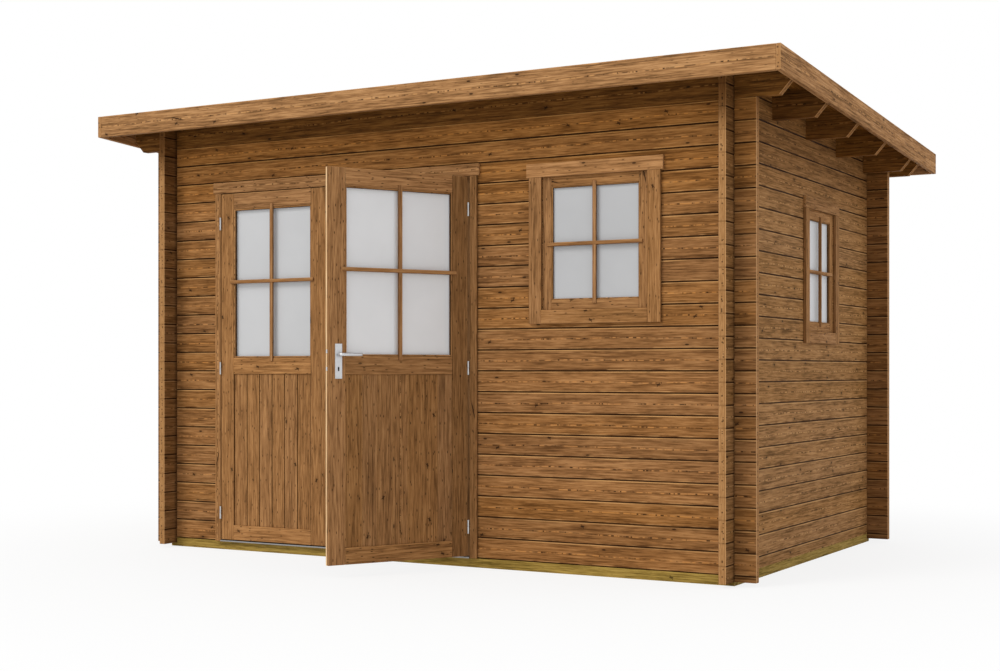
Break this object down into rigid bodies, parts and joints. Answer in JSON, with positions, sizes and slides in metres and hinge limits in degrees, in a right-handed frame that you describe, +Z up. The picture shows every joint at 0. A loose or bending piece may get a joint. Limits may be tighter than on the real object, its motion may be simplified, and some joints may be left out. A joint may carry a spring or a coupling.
{
  "type": "wooden garden shed",
  "caption": "Log-built garden shed with interlocking corners, a low single-pitch roof on bevelled purlins, a glazed double door with swinging leaves and a lever handle, and barred windows.",
  "frame": {"origin": "on the underside of the front foundation beam, in the middle of the front wall's thickness and width", "axes": "+X to the right along the front wall, +Y from the front wall to the back wall, +Z up"},
  "size_m": [4.324, 3.4206, 2.6128],
  "materials": {
    "log_wood": "warm brown heat-treated pine, matt",
    "roof_wood": "warm brown heat-treated pine, matt",
    "trim_wood": "warm brown heat-treated pine, planed",
    "leaf_wood": "warm brown heat-treated pine, planed",
    "treated_wood": "olive green pressure-treated softwood",
    "roof_felt": "dark mineral felt",
    "pane_glass": "clear pane",
    "hinge_metal": "zinc grey",
    "handle_metal": "satin",
    "threshold_metal": "satin"
  },
  "bodies": {
    "building": {"sill_front": "treated_wood", "sill_back": "treated_wood", "sill_left": "treated_wood", "sill_right": "treated_wood", "front_wall_left": "log_wood", "front_wall_right": "log_wood", "front_wall_upper": "log_wood", "back_wall": "log_wood", "left_wall": "log_wood", "right_wall": "log_wood", "purlin_1": "roof_wood", "purlin_2": "roof_wood", "purlin_3": "roof_wood", "purlin_4": "roof_wood", "purlin_5": "roof_wood", "purlin_6": "roof_wood", "roof_deck": "roof_wood", "roof_felt": "roof_felt", "fascia_front": "trim_wood", "fascia_back": "trim_wood", "fascia_left": "trim_wood", "fascia_right": "trim_wood", "door_jamb_left": "trim_wood", "door_jamb_right": "trim_wood", "door_frame_head": "trim_wood", "front_window_trim": "trim_wood", "side_window_trim": "trim_wood", "door_threshold": "threshold_metal", "front_window_sash": "leaf_wood", "side_window_sash": "leaf_wood", "front_window_pane": "pane_glass", "side_window_pane": "pane_glass", "left_hinge_frame_side": "hinge_metal", "right_hinge_frame_side": "hinge_metal"},
    "left_leaf": {"left_leaf_frame": "leaf_wood", "left_leaf_panel": "leaf_wood", "left_leaf_glass": "pane_glass", "left_hinge_leaf_side": "hinge_metal"},
    "right_leaf": {"right_leaf_frame": "leaf_wood", "right_leaf_panel": "leaf_wood", "right_leaf_glass": "pane_glass", "right_hinge_leaf_side": "hinge_metal", "handle_plates": "handle_metal"},
    "lever": {"lever_handle": "handle_metal"}
  },
  "joints": [
    {"name": "left_leaf_swing", "type": "hinge", "parent": "building", "child": "left_leaf", "pos_m": [-1.422, -0.0455, 1.085], "axis": [0, 0, -1], "range_deg": [0, 110]},
    {"name": "right_leaf_swing", "type": "hinge", "parent": "building", "child": "right_leaf", "pos_m": [0.302, -0.0455, 1.085], "axis": [0, 0, 1], "range_deg": [-61, 49]},
    {"name": "lever_turn", "type": "hinge", "parent": "right_leaf", "child": "lever", "pos_m": [-0.07397, -0.72377, 1.154], "axis": [-0.8746, 0.4848, 0], "range_deg": [0, 40], "stiffness_Nm_per_rad": 1, "springref_deg": -45.84}
  ]
}
